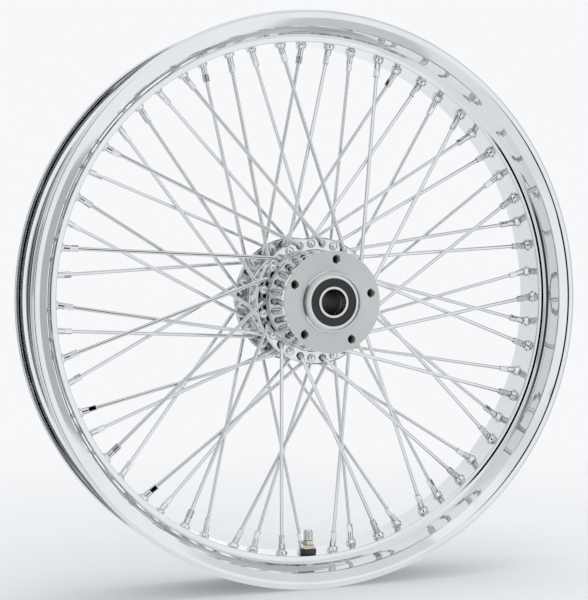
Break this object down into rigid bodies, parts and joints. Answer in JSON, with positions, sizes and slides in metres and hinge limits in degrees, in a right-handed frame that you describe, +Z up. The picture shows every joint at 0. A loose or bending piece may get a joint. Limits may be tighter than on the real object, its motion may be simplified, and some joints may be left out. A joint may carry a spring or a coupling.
{
  "type": "spoked wheel",
  "caption": "Chromed laced motorcycle front wheel: drop-centre rim, flanged hub, crossed wire spokes, sealed bearings and a bolt-in valve, without tyre.",
  "frame": {"origin": "centre of the wheel, on the axle line in the rim's centre plane", "axes": "+Y along the axle, from the left (-Y) brake-disc face to the right one; +Z up with the valve at the bottom; +X forwards, to the right seen from the left side"},
  "size_m": [0.566, 0.169, 0.566],
  "materials": {
    "rim_chrome": "bright chrome plate on rolled steel",
    "spoke_chrome": "bright chrome plate",
    "hub_chrome": "bright chrome with fine-turned satin disc faces",
    "bearing_steel": "ground steel",
    "bearing_cage": "pressed steel cage with polished balls",
    "seal_rubber": "matt black moulded rubber",
    "dark_steel": "oiled dark steel tube",
    "black_rubber": "black moulded rubber",
    "valve_nickel": "nickel-plated brass",
    "valve_brass": "plain brass",
    "cap_chrome": "bright plated cap"
  },
  "bodies": {
    "axle_side": {"left_bearing_inner_ring": "bearing_steel", "right_bearing_inner_ring": "bearing_steel", "bearing_spacer_tube": "dark_steel"},
    "wheel": {"rim": "rim_chrome", "rim_band": "black_rubber", "hub_shell": "hub_chrome", "left_spoke_pair_01": "spoke_chrome", "left_spoke_pair_02": "spoke_chrome", "left_spoke_pair_03": "spoke_chrome", "left_spoke_pair_04": "spoke_chrome", "left_spoke_pair_05": "spoke_chrome", "left_spoke_pair_06": "spoke_chrome", "left_spoke_pair_07": "spoke_chrome", "left_spoke_pair_08": "spoke_chrome", "left_spoke_pair_09": "spoke_chrome", "left_spoke_pair_10": "spoke_chrome", "left_spoke_pair_11": "spoke_chrome", "left_spoke_pair_12": "spoke_chrome", "left_spoke_pair_13": "spoke_chrome", "left_spoke_pair_14": "spoke_chrome", "left_spoke_pair_15": "spoke_chrome", "right_spoke_pair_01": "spoke_chrome", "right_spoke_pair_02": "spoke_chrome", "right_spoke_pair_03": "spoke_chrome", "right_spoke_pair_04": "spoke_chrome", "right_spoke_pair_05": "spoke_chrome", "right_spoke_pair_06": "spoke_chrome", "right_spoke_pair_07": "spoke_chrome", "right_spoke_pair_08": "spoke_chrome", "right_spoke_pair_09": "spoke_chrome", "right_spoke_pair_10": "spoke_chrome", "right_spoke_pair_11": "spoke_chrome", "right_spoke_pair_12": "spoke_chrome", "right_spoke_pair_13": "spoke_chrome", "right_spoke_pair_14": "spoke_chrome", "right_spoke_pair_15": "spoke_chrome", "left_bearing_outer_ring": "bearing_steel", "left_bearing_outside_seal": "seal_rubber", "left_bearing_inside_seal": "seal_rubber", "right_bearing_outer_ring": "bearing_steel", "right_bearing_outside_seal": "seal_rubber", "right_bearing_inside_seal": "seal_rubber", "valve_stem": "valve_nickel", "valve_inner_grommet": "black_rubber", "valve_rubber_washer": "black_rubber", "valve_nut_lower": "valve_nickel", "valve_nut_upper": "valve_nickel"},
    "left_cage": {"left_bearing_ball_cage": "bearing_cage"},
    "right_cage": {"right_bearing_ball_cage": "bearing_cage"},
    "cap": {"valve_cap": "cap_chrome"},
    "core_pin": {"valve_core_pin": "valve_brass"}
  },
  "joints": [
    {"name": "wheel_spin", "type": "hinge", "parent": "axle_side", "child": "wheel", "pos_m": [0, 0, 0], "axis": [0, 1, 0], "continuous": true},
    {"name": "left_cage_spin", "type": "hinge", "parent": "axle_side", "child": "left_cage", "pos_m": [0, -0.0745, 0], "axis": [0, 1, 0], "continuous": true},
    {"name": "right_cage_spin", "type": "hinge", "parent": "axle_side", "child": "right_cage", "pos_m": [0, 0.0745, 0], "axis": [0, 1, 0], "continuous": true},
    {"name": "valve_cap_off", "type": "slide", "parent": "wheel", "child": "cap", "axis": [0, 0, 1], "range_m": [0, 0.014]},
    {"name": "valve_pin_press", "type": "slide", "parent": "wheel", "child": "core_pin", "axis": [0, 0, -1], "range_m": [0, 0.0012], "stiffness_N_per_m": 400}
  ],
  "couplings": [
    {"joint": "left_cage_spin", "follows": "wheel_spin", "ratio": 0.6017},
    {"joint": "right_cage_spin", "follows": "wheel_spin", "ratio": 0.6017}
  ]
}
